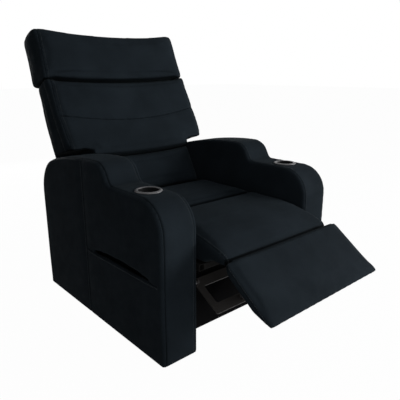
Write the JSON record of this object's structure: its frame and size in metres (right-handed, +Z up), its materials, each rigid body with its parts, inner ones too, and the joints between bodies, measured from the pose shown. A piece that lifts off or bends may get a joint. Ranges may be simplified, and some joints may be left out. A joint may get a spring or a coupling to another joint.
{
  "type": "cinema recliner seat",
  "caption": "Powered cinema recliner seat with padded arms, cup holders, side pockets, a reclining back with a headrest pillow and a folding footrest.",
  "frame": {"origin": "middle of the whole seat's footprint on the floor, at the pictured pose", "axes": "+Z up, the seat faces -Y, +X is the sitter's left"},
  "size_m": [0.915, 1.5204, 1.194],
  "materials": {
    "leather": "matte black leather with a fine grain",
    "timber": "bare plywood and softwood",
    "cup_rim": "grey satin",
    "black_board": "black cloth-covered board",
    "black_plastic": "fine-grained moulding",
    "bright_steel": "zinc plated",
    "dark_steel": "grey-brown powder coat"
  },
  "bodies": {
    "base": {"arm_frame_left": "timber", "arm_frame_right": "timber", "arm_upholstery_left": "leather", "arm_upholstery_right": "leather", "back_actuator": "dark_steel", "back_pin_left": "bright_steel", "back_pin_right": "bright_steel", "control_box": "black_plastic", "cup_holder_left": "cup_rim", "cup_holder_right": "cup_rim", "footrest_actuator": "dark_steel", "footrest_bracket_left": "dark_steel", "footrest_bracket_right": "dark_steel", "footrest_pin_left": "bright_steel", "footrest_pin_right": "bright_steel", "front_cross_tube": "dark_steel", "front_glide_left": "black_plastic", "front_glide_right": "black_plastic", "front_pad": "leather", "kick_panel": "black_board", "middle_cross_tube": "dark_steel", "power_inlet": "black_plastic", "push_frame_pin_left": "bright_steel", "push_frame_pin_right": "bright_steel", "rear_cross_tube": "dark_steel", "rear_glide_left": "black_plastic", "rear_glide_right": "black_plastic", "rear_rail": "black_board", "seat_cushion": "leather", "seat_rail_front": "dark_steel", "seat_rail_left": "dark_steel", "seat_rail_rear": "dark_steel", "seat_rail_right": "dark_steel", "seat_spring_1": "bright_steel", "seat_spring_2": "bright_steel", "seat_spring_3": "bright_steel", "side_plate_left": "dark_steel", "side_plate_right": "dark_steel", "switch_bezel": "black_plastic"},
    "back": {"back_cross_bar_lower": "dark_steel", "back_cross_bar_middle": "dark_steel", "back_cross_bar_upper": "dark_steel", "back_upright_left": "dark_steel", "back_upright_right": "dark_steel", "headrest": "leather", "lumbar_cushion": "leather", "middle_back_cushion": "leather", "outer_back": "leather"},
    "footrest": {"footrest_arm_left": "dark_steel", "footrest_arm_right": "dark_steel", "footrest_board": "timber", "footrest_cushion": "leather"},
    "push_frame": {"push_frame": "dark_steel"},
    "footrest_stays": {"footrest_stay_left": "dark_steel", "footrest_stay_right": "dark_steel"},
    "footrest_rod": {"footrest_actuator_rod": "bright_steel"},
    "back_rod": {"back_actuator_rod": "bright_steel"},
    "button_open": {"switch_button_open": "black_plastic"},
    "button_close": {"switch_button_close": "black_plastic"}
  },
  "joints": [
    {"name": "back_recline", "type": "hinge", "parent": "base", "child": "back", "pos_m": [0, 0.295, 0.42], "axis": [-1, 0, 0], "range_deg": [-10, 22]},
    {"name": "footrest", "type": "hinge", "parent": "base", "child": "footrest", "pos_m": [0, -0.467, 0.36], "axis": [-1, 0, 0], "range_deg": [-54, 20]},
    {"name": "push_frame_swing", "type": "hinge", "parent": "base", "child": "push_frame", "pos_m": [0, -0.347, 0.252], "axis": [-1, 0, 0], "range_deg": [-54, 20]},
    {"name": "stay_swing", "type": "hinge", "parent": "push_frame", "child": "footrest_stays", "pos_m": [0, -0.45302, 0.19103], "axis": [-1, 0, 0], "range_deg": [-20, 54]},
    {"name": "footrest_rod_slide", "type": "slide", "parent": "base", "child": "footrest_rod", "axis": [0, -1, 0], "range_m": [-0.053, 0.02]},
    {"name": "back_rod_slide", "type": "slide", "parent": "base", "child": "back_rod", "axis": [0, 1, 0], "range_m": [-0.0515, 0.0235]},
    {"name": "button_open_press", "type": "slide", "parent": "base", "child": "button_open", "axis": [-1, 0, 0], "range_m": [0, 0.0015], "stiffness_N_per_m": 500, "springref_m": -0.0005},
    {"name": "button_close_press", "type": "slide", "parent": "base", "child": "button_close", "axis": [-1, 0, 0], "range_m": [0, 0.0015], "stiffness_N_per_m": 500, "springref_m": -0.0005}
  ],
  "couplings": [
    {"joint": "push_frame_swing", "follows": "footrest", "ratio": 1},
    {"joint": "stay_swing", "follows": "footrest", "ratio": -1},
    {"joint": "footrest_rod_slide", "follows": "footrest", "m_per_rad": 0.0555},
    {"joint": "back_rod_slide", "follows": "back_recline", "m_per_rad": -0.1335}
  ]
}
